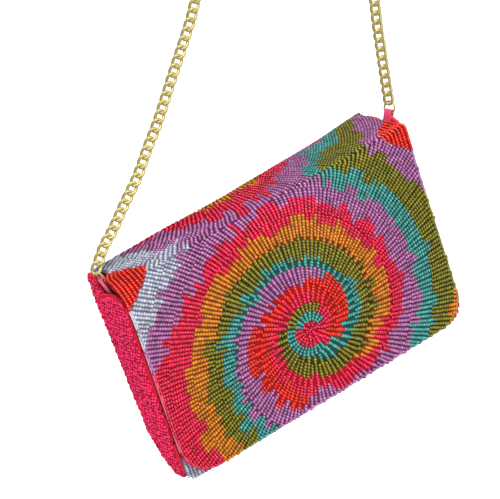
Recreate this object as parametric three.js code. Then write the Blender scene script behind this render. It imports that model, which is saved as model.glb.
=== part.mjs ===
// Box crossbody bag: a beaded, padded box bag that hangs by its chain, right end up.
// Millimetres, +Z up, front to -Y. The origin is inside the top of the chain's loop, where a hook or shoulder
// carries it. The bag itself is drawn upright in a frame of its own and then tilted as it hangs:
// x across from its middle, y back from the flap's front face, z up from its base.

import * as THREE from 'three';

// Driving dimensions of the bag
const HEIGHT = 127;
const DEPTH_LEFT = 39;
const DEPTH_RIGHT = 46;
const TILT = THREE.MathUtils.degToRad(20.7);
const GAP = 0.4;

// Walls
const FLAP_WALL = 3;
const PANEL_WALL = 2.6;
const GUSSET_WALL = 2.5;

// Flap: its front face is wider than its top, which leaves room for the strap tabs between the two gussets
const FLAP_LEFT = -103;
const FLAP_RIGHT = 101.6;
const FLAP_TOP_HALF = 97.8;
const FLAP_BACK_HALF = 100.4;
const FLAP_WIDENS = 8;
const FLAP_LOW = 0.5;
const FLAP_CORNER_LEFT = 22;
const FLAP_CORNER_RIGHT = 18;
const FLAP_SEAM = 112;
const FLAP_BACK_BEND = 7;
const FLAP_PILLOW = 1.6;
const FLAP_ACROSS = 26;
const FLAP_ALONG = 32;

// One row for each section across the flap: place (-1 left, 1 right), height of its top, bend over the front,
// and how far back its width is still the front's and is the top's
const FLAP_SECTIONS = [
  { at: -1, top: 131.5, bend: 31, wide: 15.5, narrow: 24.8 },
  { at: -0.6, top: 131, bend: 24, wide: 12, narrow: 19 },
  { at: 0, top: 129, bend: 14, wide: 5, narrow: 10 },
  { at: 0.6, top: 128.6, bend: 9, wide: 1, narrow: 6.3 },
  { at: 1, top: 130.2, bend: 6, wide: 0, narrow: 4.2 },
];

// Box under the flap
const BOX_HALF = 103.6;
const FRONT_FACE = FLAP_WALL + GAP;
const FRONT_TOP = 100;
const FRONT_HALF = 102;
const CORNER_LEFT = 6;
const CORNER_RIGHT = 11;
const CORNER_FADE = 60;
const BASE_FLAT = 0.34;
const BASE_HEEL = { depth: 0.8, height: 20 };
const BASE_BEND = 3;
const HEEL_BEND = 14;
const BACK_PILLOW = 2;
const BACK_ACROSS = 18;
const BACK_ALONG = 30;
const BACK_SAMPLES = 160;
const SEAM_GAP = 0.6;

// Gussets' upper edges: place across (0 front, 1 back) and height, with the dip where the strap comes out
const GUSSET_TOP_LEFT = [
  { at: 0, high: 112 },
  { at: 0.1, high: 117.5 },
  { at: 0.3, high: 119.5 },
  { at: 0.65, high: 118 },
  { at: 0.79, high: 128 },
  { at: 0.88, high: 130 },
  { at: 1, high: 127 },
];
const GUSSET_TOP_RIGHT = [
  { at: 0, high: 122 },
  { at: 0.08, high: 128.5 },
  { at: 0.2, high: 130.5 },
  { at: 0.27, high: 115.5 },
  { at: 0.48, high: 115.5 },
  { at: 0.56, high: 126.3 },
  { at: 0.8, high: 126 },
  { at: 1, high: 123.5 },
];
const GUSSET_LOW_LEFT = 3;
const GUSSET_LOW_RIGHT = 5;
const GUSSET_PILLOW = 1.5;
const GUSSET_ACROSS = 18;
const GUSSET_UP = 14;
const GUSSET_CROWD = 1.5;

// Strap fittings, in the bag's frame: each ring's centre, its tab's foot, and the ring's turn on the pull
const RING_RADIUS = 3.8;
const RING_WIRE = 0.55;
const RING_SIDES = 16;
const RING_WIRE_SIDES = 6;
const LEFT_FITTING = { ring: [-101.3, 26, 129], foot: [-95.8, 26, 111], turn: 0 };
const RIGHT_FITTING = { ring: [106.8, 21, 132.1], foot: [94.6, 21, 110], turn: 0.25 };
const TAB_WIDTH = 5.4;
const TAB_WALL = 0.8;
const TAB_EYE = 1.05;

// Chain: outside of its links, and its route as [X, Z] from the hang point, left ring to right ring
const CHAIN_WIDTH = 6;
const CHAIN_THICK = 3.2;
const CHAIN_SIDES = 8;
const CHAIN_STEPS = 78;
const HANG_OVER_LEFT_RING = [134, 552];
const CHAIN_ROUTE = [
  [-136.3, -546.8], [-131.5, -535.2], [-125.5, -526], [-117.7, -511.8], [-109.4, -497.5],
  [-102.6, -481.8], [-95.9, -467.5], [-85.7, -441.2], [-75.6, -415.7], [-72.2, -404.7],
  [-58.5, -356], [-46, -302], [-35.5, -245], [-27, -186], [-21, -126], [-16.8, -66], [-14.6, -22],
  [-10.5, -3.5], [0, 3], [10.5, -3.5],
  [14.6, -22], [17.4, -66], [21.5, -126], [26.3, -186], [31.8, -245], [37.5, -302], [43.2, -356],
  [48.8, -412], [53.6, -442], [58.9, -471],
];

function material(name, color, roughness, metalness) {
  return new THREE.MeshStandardMaterial({ name, color, roughness, metalness });
}

const swirlBeads = material('swirl_beads', 0xc8486e, 0.3, 0);
const pinkBeads = material('pink_beads', 0xd81b60, 0.35, 0);
const pinkSatin = material('pink_satin', 0xe0406c, 0.5, 0);
const gold = material('gold', 0xd9b552, 0.25, 1);

// The value of a column at a place in a table of rows, with smooth steps between the rows
function tableValue(rows, at, column) {
  const next = rows.findIndex((row) => row.at >= at);
  if (next === 0) return rows[0][column];
  if (next < 0) return rows.at(-1)[column];
  const [a, b] = [rows[next - 1], rows[next]];
  const part = THREE.MathUtils.smoothstep(at, a.at, b.at);
  return THREE.MathUtils.lerp(a[column], b[column], part);
}

// A closed wall from its outer face, a grid of points, and its thickness inwards.
// Seen from outside, rows run to the right and columns run down.
function wall(outer, thickness) {
  const rows = outer.length;
  const columns = outer[0].length;
  const normalAt = (i, j) => {
    const across = outer[i][Math.min(j + 1, columns - 1)].clone().sub(outer[i][Math.max(j - 1, 0)]);
    const down = outer[Math.min(i + 1, rows - 1)][j].clone().sub(outer[Math.max(i - 1, 0)][j]);
    return down.cross(across).normalize();
  };
  const points = outer.flat();
  outer.forEach((row, i) => row.forEach((point, j) => {
    points.push(point.clone().addScaledVector(normalAt(i, j), -thickness));
  }));
  const out = (i, j) => i * columns + j;
  const inn = (i, j) => (rows + i) * columns + j;
  const index = [];
  const quad = (a, b, c, d) => index.push(a, b, c, a, c, d);
  for (let i = 0; i < rows - 1; i += 1) {
    for (let j = 0; j < columns - 1; j += 1) {
      quad(out(i, j), out(i + 1, j), out(i + 1, j + 1), out(i, j + 1));
      quad(inn(i, j), inn(i, j + 1), inn(i + 1, j + 1), inn(i + 1, j));
    }
    quad(out(i, 0), inn(i, 0), inn(i + 1, 0), out(i + 1, 0));
    quad(out(i, columns - 1), out(i + 1, columns - 1), inn(i + 1, columns - 1), inn(i, columns - 1));
  }
  for (let j = 0; j < columns - 1; j += 1) {
    quad(out(0, j), out(0, j + 1), inn(0, j + 1), inn(0, j));
    quad(out(rows - 1, j), inn(rows - 1, j), inn(rows - 1, j + 1), out(rows - 1, j + 1));
  }
  return indexedGeometry(points, index);
}

function indexedGeometry(points, index) {
  const geometry = new THREE.BufferGeometry().setFromPoints(points);
  geometry.setIndex(index);
  geometry.computeVertexNormals();
  return geometry;
}

function mesh(name, geometry, finish) {
  const piece = new THREE.Mesh(geometry, finish);
  piece.name = name;
  return piece;
}

// A grid of point(along, across): along runs from 0 to 1 over the rows, across from -1 to 1 in each row
function grid(rows, columns, point) {
  const row = (along) => Array.from({ length: columns }, (_, j) => point(along, (2 * j) / (columns - 1) - 1));
  return Array.from({ length: rows }, (_, i) => row(i / (rows - 1)));
}

// The side-view line through the given corners, each rounded by its own bend
function roundedLine(corners) {
  const line = new THREE.Path();
  const at = (k) => new THREE.Vector2(corners[k].y, corners[k].z);
  line.moveTo(corners[0].y, corners[0].z);
  for (let k = 1; k < corners.length - 1; k += 1) {
    const corner = at(k);
    const from = corner.clone().add(at(k - 1).sub(corner).setLength(corners[k].bend));
    const to = corner.clone().add(at(k + 1).sub(corner).setLength(corners[k].bend));
    line.lineTo(from.x, from.y);
    line.quadraticCurveTo(corner.x, corner.y, to.x, to.y);
  }
  const end = at(corners.length - 1);
  line.lineTo(end.x, end.y);
  return line;
}

function depthAt(across) {
  return THREE.MathUtils.lerp(DEPTH_LEFT, DEPTH_RIGHT, (across + 1) / 2);
}

// How far a padded wall swells out: most in its middle, nothing at its sides, base and top
function pillow(swell, across, height) {
  return swell * (1 - across ** 2) * Math.sin(Math.PI * THREE.MathUtils.clamp(height / HEIGHT, 0, 1));
}

// Spreads columns so that they crowd towards both ends, where the flap's corners are
function crowded(across) {
  return Math.sin((across * Math.PI) / 2);
}

// The flap's side-view line at a place across, from the seam on the back to its lower edge
function flapLine(across) {
  const depth = depthAt(across);
  const top = tableValue(FLAP_SECTIONS, across, 'top');
  const bend = tableValue(FLAP_SECTIONS, across, 'bend');
  const corner = across < 0 ? FLAP_CORNER_LEFT : FLAP_CORNER_RIGHT;
  const fromEnd = (1 - Math.abs(across)) * (across < 0 ? -FLAP_LEFT : FLAP_RIGHT);
  const into = Math.max(corner - fromEnd, 0);
  const low = FLAP_LOW + corner - Math.sqrt(corner ** 2 - into ** 2);
  return roundedLine([
    { y: depth, z: FLAP_SEAM },
    { y: depth, z: top, bend: FLAP_BACK_BEND },
    { y: 0, z: top, bend },
    { y: 0, z: low },
  ]);
}

function flapPoint(along, across) {
  const place = crowded(across);
  const { x: y, y: z } = flapLine(place).getPoint(along);
  const wide = tableValue(FLAP_SECTIONS, place, 'wide');
  const narrow = tableValue(FLAP_SECTIONS, place, 'narrow');
  const overTop = THREE.MathUtils.smoothstep(y, wide, narrow);
  const atBack = THREE.MathUtils.smoothstep(y, depthAt(place) - FLAP_WIDENS, depthAt(place));
  const topHalf = THREE.MathUtils.lerp(FLAP_TOP_HALF, FLAP_BACK_HALF, atBack);
  const half = THREE.MathUtils.lerp(place < 0 ? -FLAP_LEFT : FLAP_RIGHT, topHalf, overTop);
  return new THREE.Vector3(place * half, y - pillow(FLAP_PILLOW, place, z) * (1 - overTop), z);
}

function flap() {
  return mesh('flap', wall(grid(FLAP_ALONG + 1, FLAP_ACROSS + 1, flapPoint), FLAP_WALL), swirlBeads);
}

function frontPanel() {
  const outline = new THREE.Shape();
  outline.moveTo(-FRONT_HALF, FRONT_TOP);
  outline.lineTo(-FRONT_HALF, CORNER_LEFT);
  outline.quadraticCurveTo(-FRONT_HALF, 0, CORNER_LEFT - FRONT_HALF, 0);
  outline.lineTo(FRONT_HALF - CORNER_RIGHT, 0);
  outline.quadraticCurveTo(FRONT_HALF, 0, FRONT_HALF, CORNER_RIGHT);
  outline.lineTo(FRONT_HALF, FRONT_TOP);
  const panel = { depth: PANEL_WALL, bevelEnabled: false, curveSegments: 8 };
  const piece = mesh('front_panel', new THREE.ExtrudeGeometry(outline, panel), swirlBeads);
  piece.rotation.x = Math.PI / 2;
  piece.position.y = FRONT_FACE + PANEL_WALL;
  return piece;
}

// The back's side-view line, from its base's front edge round the bend and up to the flap's seam
function backLine(across) {
  const depth = depthAt(across);
  return roundedLine([
    { y: FRONT_FACE + PANEL_WALL + GAP, z: 0 },
    { y: depth * BASE_FLAT, z: 0, bend: BASE_BEND },
    { y: depth * BASE_HEEL.depth, z: BASE_HEEL.height, bend: HEEL_BEND },
    { y: depth, z: FLAP_SEAM - SEAM_GAP },
  ]);
}

// How far the base's rounded end lifts it at a place across, as the front panel's lower corners do
function cornerLift(x) {
  const corner = x < 0 ? CORNER_LEFT : CORNER_RIGHT;
  const into = Math.max(corner - (FRONT_HALF - Math.abs(x)), 0);
  return corner - Math.sqrt(corner ** 2 - into ** 2);
}

function backPanel() {
  const half = BOX_HALF - GUSSET_WALL - GAP;
  const outer = grid(BACK_ALONG + 1, BACK_ACROSS + 1, (along, across) => {
    const place = crowded(across);
    const { x: y, y: z } = backLine(place).getPoint(along);
    const lift = cornerLift(place * half) * Math.max(1 - z / CORNER_FADE, 0);
    return new THREE.Vector3(place * half, y + pillow(BACK_PILLOW, place, z), z + lift);
  });
  return mesh('back_panel', wall(outer, PANEL_WALL), swirlBeads);
}

// How deep the back lies behind the flap's face at a height, read off its side-view line
function backDepth(across, height) {
  const points = backLine(across).getSpacedPoints(BACK_SAMPLES);
  const next = points.findIndex((point) => point.y > height);
  if (next < 0) return points.at(-1).x;
  const [a, b] = [points[next - 1], points[next]];
  return THREE.MathUtils.mapLinear(height, a.y, b.y, a.x, b.x);
}

function gusset(name, side, topEdge, lowest) {
  const front = FRONT_FACE + PANEL_WALL + GAP;
  const outer = grid(GUSSET_UP + 1, GUSSET_ACROSS + 1, (down, across) => {
    const part = (1 + across) / 2;
    const place = side < 0 ? 1 - part : part;
    const top = tableValue(topEdge, place, 'high');
    const high = THREE.MathUtils.lerp(lowest, top, (1 - down) ** GUSSET_CROWD);
    const y = THREE.MathUtils.lerp(front, backDepth(side, high), place);
    const swell = pillow(GUSSET_PILLOW, 2 * place - 1, high);
    return new THREE.Vector3(side * (BOX_HALF + swell), y, high);
  });
  return mesh(name, wall(outer, GUSSET_WALL), pinkBeads);
}

// A group at a ring's centre whose +Z is the tab's pull and whose X is the ring's plane
function fittingFrame({ ring, foot, turn }) {
  const frame = new THREE.Group();
  frame.position.fromArray(ring);
  const pull = frame.position.clone().sub(new THREE.Vector3(...foot)).normalize();
  frame.quaternion.setFromUnitVectors(new THREE.Vector3(0, 0, 1), pull);
  frame.rotateZ(Math.PI / 2 + turn);
  return frame;
}

function ring(name) {
  const geometry = new THREE.TorusGeometry(RING_RADIUS, RING_WIRE, RING_WIRE_SIDES, RING_SIDES);
  const piece = mesh(name, geometry, gold);
  piece.rotation.x = Math.PI / 2;
  return piece;
}

// A ribbon folded over the ring's lower wire: an upside-down U, as wide as the ribbon
function tab(name, { ring: centre, foot }) {
  const edge = TAB_WIDTH / 2;
  const wireAtEdge = -Math.sqrt(RING_RADIUS ** 2 - edge ** 2);
  const bendCentre = wireAtEdge + 2 * RING_WIRE + GAP - TAB_EYE;
  const low = -new THREE.Vector3(...centre).distanceTo(new THREE.Vector3(...foot));
  const outside = TAB_EYE + TAB_WALL;
  const fold = new THREE.Shape();
  fold.moveTo(outside, low);
  fold.lineTo(outside, bendCentre);
  fold.absarc(0, bendCentre, outside, 0, Math.PI, false);
  fold.lineTo(-outside, low);
  fold.lineTo(-TAB_EYE, low);
  fold.lineTo(-TAB_EYE, bendCentre);
  fold.absarc(0, bendCentre, TAB_EYE, Math.PI, 0, true);
  fold.lineTo(TAB_EYE, low);
  const ribbon = { depth: TAB_WIDTH, bevelEnabled: false, curveSegments: 8 };
  const geometry = new THREE.ExtrudeGeometry(fold, ribbon);
  geometry.translate(0, 0, -edge);
  const piece = mesh(name, geometry, pinkSatin);
  piece.rotation.set(Math.PI / 2, Math.PI / 2, 0);
  return piece;
}

function fitting(side, places) {
  const frame = fittingFrame(places);
  frame.add(ring(`ring_${side}`), tab(`tab_${side}`, places));
  return frame;
}

// The chain as one bar of the outside of its links, along its whole route
function chain() {
  const section = new THREE.Shape(Array.from({ length: CHAIN_SIDES }, (_, k) => {
    const turn = ((k + 0.5) / CHAIN_SIDES) * 2 * Math.PI;
    return new THREE.Vector2((Math.cos(turn) * CHAIN_THICK) / 2, (Math.sin(turn) * CHAIN_WIDTH) / 2);
  }));
  const lean = (LEFT_FITTING.ring[1] - RIGHT_FITTING.ring[1]) / 2;
  const route = new THREE.CatmullRomCurve3(CHAIN_ROUTE.map(([x, z], k) => (
    new THREE.Vector3(x, THREE.MathUtils.mapLinear(k, 0, CHAIN_ROUTE.length - 1, lean, -lean), z)
  )));
  const bar = { steps: CHAIN_STEPS, extrudePath: route, bevelEnabled: false };
  return mesh('chain', new THREE.ExtrudeGeometry(section, bar), gold);
}

// The bag, tilted and hung so that its left ring is below and to the left of the hang point
const bag = new THREE.Group();
bag.add(flap(), frontPanel(), backPanel(), gusset('gusset_left', -1, GUSSET_TOP_LEFT, GUSSET_LOW_LEFT));
bag.add(gusset('gusset_right', 1, GUSSET_TOP_RIGHT, GUSSET_LOW_RIGHT));
bag.add(fitting('left', LEFT_FITTING), fitting('right', RIGHT_FITTING));
bag.rotation.y = -TILT;
const strapDepth = (LEFT_FITTING.ring[1] + RIGHT_FITTING.ring[1]) / 2;
const leftRing = new THREE.Vector3(...LEFT_FITTING.ring).applyEuler(bag.rotation);
bag.position.set(-HANG_OVER_LEFT_RING[0] - leftRing.x, -strapDepth, -HANG_OVER_LEFT_RING[1] - leftRing.z);

const crossbodyBag = new THREE.Group();
crossbodyBag.add(bag, chain());

export default crossbodyBag;
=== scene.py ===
"""Looks of a beaded box crossbody bag that hangs by its chain, right end up.

Shapes are worked out in millimetres in the bag's own frame: x across from its middle, y back from the flap's front
face and z up from its base. They are then tilted and hung in the shared frame, in metres."""

import math

import bpy
import numpy as np
from bpy.props import FloatProperty, FloatVectorProperty, IntProperty, PointerProperty
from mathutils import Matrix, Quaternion, Vector


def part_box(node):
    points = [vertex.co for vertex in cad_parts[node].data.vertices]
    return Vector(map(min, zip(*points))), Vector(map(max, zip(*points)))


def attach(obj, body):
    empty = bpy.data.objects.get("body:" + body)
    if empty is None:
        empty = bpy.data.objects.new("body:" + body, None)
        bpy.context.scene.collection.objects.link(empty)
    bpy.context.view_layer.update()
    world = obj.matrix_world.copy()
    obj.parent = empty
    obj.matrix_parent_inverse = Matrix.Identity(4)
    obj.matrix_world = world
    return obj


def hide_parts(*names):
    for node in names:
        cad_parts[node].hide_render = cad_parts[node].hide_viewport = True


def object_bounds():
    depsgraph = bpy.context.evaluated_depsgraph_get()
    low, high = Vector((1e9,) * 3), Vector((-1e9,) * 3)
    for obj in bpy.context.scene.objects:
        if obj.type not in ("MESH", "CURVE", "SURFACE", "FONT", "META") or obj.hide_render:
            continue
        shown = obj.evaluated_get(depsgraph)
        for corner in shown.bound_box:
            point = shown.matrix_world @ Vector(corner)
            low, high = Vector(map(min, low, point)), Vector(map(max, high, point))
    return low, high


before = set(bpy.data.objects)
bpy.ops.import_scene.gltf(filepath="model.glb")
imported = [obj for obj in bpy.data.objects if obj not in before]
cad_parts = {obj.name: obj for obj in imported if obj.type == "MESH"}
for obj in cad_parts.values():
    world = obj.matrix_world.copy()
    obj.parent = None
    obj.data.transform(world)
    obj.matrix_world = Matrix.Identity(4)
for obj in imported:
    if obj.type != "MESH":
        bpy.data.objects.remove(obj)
CAD_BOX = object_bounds()

bl_info = {
    "name": "Beaded Box Bag",
    "version": (1, 0, 0),
    "blender": (4, 5, 0),
    "location": "3D View > Sidebar > Beaded Bag",
    "description": "Sews seed beads on a box crossbody bag and hangs it by a curb chain",
    "category": "Object",
}

MM = 0.001

# The box, as its solids have it
HEIGHT = 127
DEPTH_LEFT, DEPTH_RIGHT = 39, 46
TILT = math.radians(20.7)
GAP = 0.4
FLAP_WALL, PANEL_WALL, GUSSET_WALL = 3, 2.6, 2.5

# Flap: columns are place across (-1 left, 1 right), height of its top, bend over the front, and how far back its
# width is still the front's and is the top's
FLAP_SECTIONS = (
    (-1, 131.5, 31, 15.5, 24.8), (-0.6, 131, 24, 12, 19), (0, 129, 14, 5, 10), (0.6, 128.6, 9, 1, 6.3),
    (1, 130.2, 6, 0, 4.2),
)
FLAP_LEFT, FLAP_RIGHT, FLAP_TOP_HALF, FLAP_BACK_HALF = 103, 101.6, 97.8, 100.4
FLAP_HALF = (FLAP_LEFT + FLAP_RIGHT) / 2
FLAP_LOW, FLAP_SEAM = 0.5, 112
FLAP_CORNER_LEFT, FLAP_CORNER_RIGHT = 22, 18
FLAP_BACK_BEND, FLAP_WIDENS, FLAP_PILLOW = 7, 8, 1.6

# Panels and gussets under the flap
BOX_HALF = 103.6
FRONT_FACE = FLAP_WALL + GAP
FRONT_TOP, FRONT_HALF = 100, 102
BACK_HALF = BOX_HALF - GUSSET_WALL - GAP
BOX_FRONT = FRONT_FACE + PANEL_WALL + GAP
CORNER_LEFT, CORNER_RIGHT, CORNER_FADE = 6, 11, 60
BASE_FLAT, BASE_BEND = 0.34, 3
HEEL_DEPTH, HEEL_HEIGHT, HEEL_BEND = 0.8, 20, 14
BACK_PILLOW, GUSSET_PILLOW, SEAM_GAP = 2, 1.5, 0.6

# Gussets' upper edges: columns are place (0 front, 1 back) and height
GUSSET_TOP_LEFT = ((0, 112), (0.1, 117.5), (0.3, 119.5), (0.65, 118), (0.79, 128), (0.88, 130), (1, 127))
GUSSET_TOP_RIGHT = (
    (0, 122), (0.08, 128.5), (0.2, 130.5), (0.27, 115.5), (0.48, 115.5), (0.56, 126.3), (0.8, 126), (1, 123.5),
)
GUSSET_LOW_LEFT, GUSSET_LOW_RIGHT = 3, 5

# Strap fittings: each ring's centre, its tab's foot, and the ring's turn on the pull
FITTINGS = {
    "left": ((-101.3, 26, 129), (-95.8, 26, 111), 0),
    "right": ((106.8, 21, 132.1), (94.6, 21, 110), 0.25),
}
RING_RADIUS, RING_WIRE = 3.8, 0.55
TAB_WIDTH, TAB_WALL, TAB_EYE = 5.4, 0.8, 1.05
TAB_CURL, TAB_TRIM, TAB_THINNER = 0.12, 0.2, 0.9

# The chain's route as (X, Z) from the hang point, left ring to right ring
CHAIN_ROUTE = (
    (-136.3, -546.8), (-131.5, -535.2), (-125.5, -526), (-117.7, -511.8), (-109.4, -497.5),
    (-102.6, -481.8), (-95.9, -467.5), (-85.7, -441.2), (-75.6, -415.7), (-72.2, -404.7),
    (-58.5, -356), (-46, -302), (-35.5, -245), (-27, -186), (-21, -126), (-16.8, -66), (-14.6, -22),
    (-10.5, -3.5), (0, 3), (10.5, -3.5),
    (14.6, -22), (17.4, -66), (21.5, -126), (26.3, -186), (31.8, -245), (37.5, -302), (43.2, -356),
    (48.8, -412), (53.6, -442), (58.9, -471),
)
CHAIN_LEAN = 2.5
CHAIN_TURN = 0.5
CHAIN_LAST_LINK = 1.1

# The dyed spiral, on the flap laid flat: u across from its middle, v up from its lower edge and over the fold
CORE_U, CORE_V = 0, 46
FOLD_V = 128
WINDING, WINDING_START = 46, 12
RIBBON_FIRST, RIBBONS = -6, 3
CORE_REACH, CORE_RINGS, CORE_BEADS = 16, 3, 3
SWIRL_REACH = 165
DYES = ("pink", "turquoise", "olive", "yellow", "orange", "purple", "light_blue")
BAND_DYES = ("pink", "turquoise", "olive", "yellow", "pink", "orange", "purple")
PALE_FROM_TURN = 2.25
# Outer edges of the dye bands, from the spiral's line. Columns: turn, core pink, turquoise, olive, yellow, pink, orange
BAND_EDGES = (
    (-0.25, 60, 60, 60, 60, 60, 60),
    (-0.17, 20, 20, 20, 20, 60, 60),
    (-0.13, 20, 20, 20, 20, 26, 60),
    (0, 17, 17, 17, 17, 29, 60),
    (0.03, 14.6, 19, 19, 19, 29, 40),
    (0.125, 11, 16, 20, 20, 26, 37),
    (0.25, 6.5, 11, 15.5, 15.5, 21, 28),
    (0.375, 2, 6, 13, 13, 21, 29),
    (0.5, -2, 4, 13, 13, 20, 31),
    (0.625, -8, -2, 9, 9, 18, 28),
    (0.68, -10, -3, 8, 8, 17, 27),
    (0.7, -11, -3.5, 7.5, 7.5, 16.5, 16.5),
    (0.75, -13, -4, 7, 7, 16, 16),
    (0.86, -13, 0, 10, 13, 25, 25),
    (0.9, -9, 1, 12, 19, 30, 30),
    (1, -6, 4, 13, 23, 33.5, 33.5),
    (1.125, -8, 1, 11, 22, 31, 31),
    (1.25, -7, -1, 9, 20, 33, 33),
    (1.375, -6, 1, 10, 22, 34, 34),
    (1.405, -5, 2, 12, 24, 36.5, 36.5),
    (1.43, -5, 3, 13, 25, 41, 41),
    (1.46, -4, 4, 15, 27, 50, 50),
    (1.5, -3, 5, 17, 29, 60, 60),
    (1.625, -2, 6, 18, 31, 60, 60),
    (1.66, -6, 3, 15, 29, 60, 60),
    (1.9, 0, 12, 22, 60, 60, 60),
    (1.94, -1.5, 10.5, 23, 60, 60, 60),
    (1.97, -1, 10, 30, 60, 60, 60),
    (2, 0, 10, 32, 32, 32, 32),
    (2.03, -1, 9, 28, 28, 28, 28),
    (2.06, -2, 8, 25, 25, 25, 25),
    (2.125, -3, 6, 22.5, 22.5, 22.5, 22.5),
    (2.17, -4, 5, 21, 21, 21, 21),
    (2.185, 0, 8, 22, 22, 22, 22),
    (2.195, 30, 30, 30, 30, 30, 30),
    (2.26, 30, 60, 60, 60, 60, 60),
    (2.32, 12, 60, 60, 60, 60, 60),
    (2.338, 2, 60, 60, 60, 60, 60),
    (2.356, 0.5, 60, 60, 60, 60, 60),
    (2.384, 3, 60, 60, 60, 60, 60),
    (2.403, 6.5, 60, 60, 60, 60, 60),
    (2.43, 6, 60, 60, 60, 60, 60),
    (2.445, 12, 60, 60, 60, 60, 60),
    (2.5, 20, 60, 60, 60, 60, 60),
    (2.625, 20, 60, 60, 60, 60, 60),
)
# Behind the fold the pattern is mirrored, and drawn out until it has crossed the top, less and less towards the back
# (share at the fold, and how far behind it the share is whole). Columns: u and whole share
MIRROR_DRAWN = (
    (-104, 0.75), (-88, 0.85), (-74, 1.08), (-55, 0.57), (36, 0.57), (52, 0.5), (62, 0.62), (71, 1.05), (80, 0.95),
    (92, 0.62),
)
MIRROR_TOP, MIRROR_FOLD, MIRROR_WHOLE = 40, 0.6, 22
# Orange wedges at the left and right ends of the fold: length, where the tip lies, and reach below and above it
WEDGES = {-1: (23, 131, 19, 11), 1: (17.5, 127, 17, 17)}
WEDGE_CURVE = 0.75

# How the strings fan out: where across a ribbon they lie one spacing apart, and how a string ends where it is crowded
FAN_AT = 0.6
CROWDED, WIDEST = 0.92, 1.15
# Teeth of the dye bands: least share of their depth, radius past which it is whole, and strings to a tooth
TOOTH_LEAST, TOOTH_WHOLE, TOOTH_STRINGS = 0.35, 80, (1, 4)
CORE_TOOTH = 0.5
# Chance in the sewing: sway of a whole string and of single beads, then a bead's turn, share of its width and sink
STRING_SWAY, BEAD_SWAY, CORE_SWAY = 0.12, 0.06, 0.07
BEAD_TURN, BEAD_SIZE, BEAD_SINK = 0.03, 0.03, 0.05
# How much of a bead's tone is its own hue, and the most that it differs
HUE_SHARE, TONE_LIMIT = 0.25, 1.7

# Bead layers
CLOTH_SINK, SMALL_CLOTH_SINK = 0.95, 0.9
CLOTH_INSET, FRONT_INSET = 0.4, 0.3
EDGE_ROLL, EDGE_DEEP, EDGE_TOP, EDGE_PALER = 1.1, 1.9, 112, 0.12
SEAM_CLEAR, EDGE_CLEAR = 1.2, 0.7
# Front panel: height of its beads, their closeness and width as shares, and where its pale corner ends and pink starts
FRONT_SHOWN, FRONT_CLOSER, FRONT_NARROWER = 26, 0.9, 0.95
FRONT_PALE, FRONT_PINK = (-90, 14), (80, 28)
# Gussets: closeness of rows, length and tone of beads as shares, their scatter, and clear strips at sides, base and top
GUSSET_CLOSER, GUSSET_SHORTER, GUSSET_TONE, GUSSET_SCATTER = 0.95, 0.9, 1.4, 0.3
GUSSET_CLEAR = (0.4, 0.8, 0.7)
# Painted shade: how much fuller and darker the cloth and the sides of beads are painted than a bead's crest, for shade
# and light passed from bead to bead between them
SHADE_DEEPENS, SHADE_DARKENS = 1.4, 0.3
# Painted highlight: how much paler the middle of a bead's crest is painted, towards white and towards its own colour
PAINTED_GLINT, TINTED_PAINTED_GLINT = 0.03, 0.07
BEAD_HEIGHT, BEAD_ENDS = 0.85, 0.82

# Lamps: where they shine from, and how wide they look
KEY_LAMP = ((-0.45, -0.45, 1.1), math.radians(35))
FRONT_LAMP = ((0.35, -0.85, 0.25), math.radians(20))


def length_prop(name, description, default):
    """A length in metres that a user may change."""
    return FloatProperty(name=name, description=description, default=default, min=0, unit="LENGTH", precision=5)


def dye_prop(name, description, default):
    """A colour, as a screen shows it, that a user may change."""
    return FloatVectorProperty(
        name=name, description=description, default=default, min=0, max=1, size=3, subtype="COLOR_GAMMA"
    )


class SeedBeads(bpy.types.PropertyGroup):
    """Sizes of the seed beads and of the strings that they are sewn on."""

    row_spacing: length_prop("Row spacing", "From one string of beads to the next", 0.00255)
    length: length_prop("Bead length", "A bead's length along its string", 0.00178)
    width: length_prop("Bead width", "A bead's width across its string", 0.00245)
    small_width: length_prop("Gusset bead", "Size of the loose small beads on the gussets", 0.0024)
    small_spacing: length_prop("Gusset spacing", "From one small bead to the next", 0.00225)
    tooth: length_prop("Tooth depth", "How far the teeth of a dye band reach past its edge", 0.0035)
    tone: FloatProperty(name="Tone", description="How much beads of one dye differ", default=0.15, min=0, max=1)
    seed: IntProperty(name="Seed", description="Which of the chance layouts is sewn", default=7, min=0)


class DyeColours(bpy.types.PropertyGroup):
    """Colours of the beads, cloth and metal."""

    pink: dye_prop("Pink", "Beads of the pink bands", (0.85, 0.10, 0.35))
    turquoise: dye_prop("Turquoise", "Beads of the turquoise band", (0.33, 0.64, 0.62))
    olive: dye_prop("Olive", "Beads of the olive band", (0.55, 0.53, 0.02))
    yellow: dye_prop("Yellow", "Beads of the yellow band", (0.80, 0.55, 0))
    orange: dye_prop("Orange", "Beads of the orange band and the wedges", (0.86, 0.18, 0))
    purple: dye_prop("Purple", "Beads of the purple band", (0.70, 0.48, 0.66))
    light_blue: dye_prop("Light blue", "Beads of the spiral's pale end", (0.74, 0.75, 0.80))
    gusset: dye_prop("Gusset", "Small beads on both gussets", (0.96, 0.24, 0.50))
    lining: dye_prop("Lining", "Cloth inside the bag", (0.96, 0.08, 0.28))
    satin: dye_prop("Satin", "Ribbon of the strap tabs", (0.90, 0.24, 0.42))
    gold: dye_prop("Gold", "Plating of the rings and the chain", (0.82, 0.76, 0.48))


class ChainSizes(bpy.types.PropertyGroup):
    """Sizes of one link of the curb chain."""

    pitch: length_prop("Pitch", "From one link to the next", 0.0054)
    reach: length_prop("Half length", "From a link's middle to the middle of its wire at an end", 0.0036)
    spread: length_prop("Half width", "From a link's middle to the middle of its wire at a side", 0.0024)
    twist: length_prop("Twist", "How far a link's wire rises and falls", 0.0008)
    wire: length_prop("Wire", "Radius of the wire", 0.00096)
    flat: length_prop("Flat", "Half the chain's thickness where its links are ground flat", 0.0014)


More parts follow.
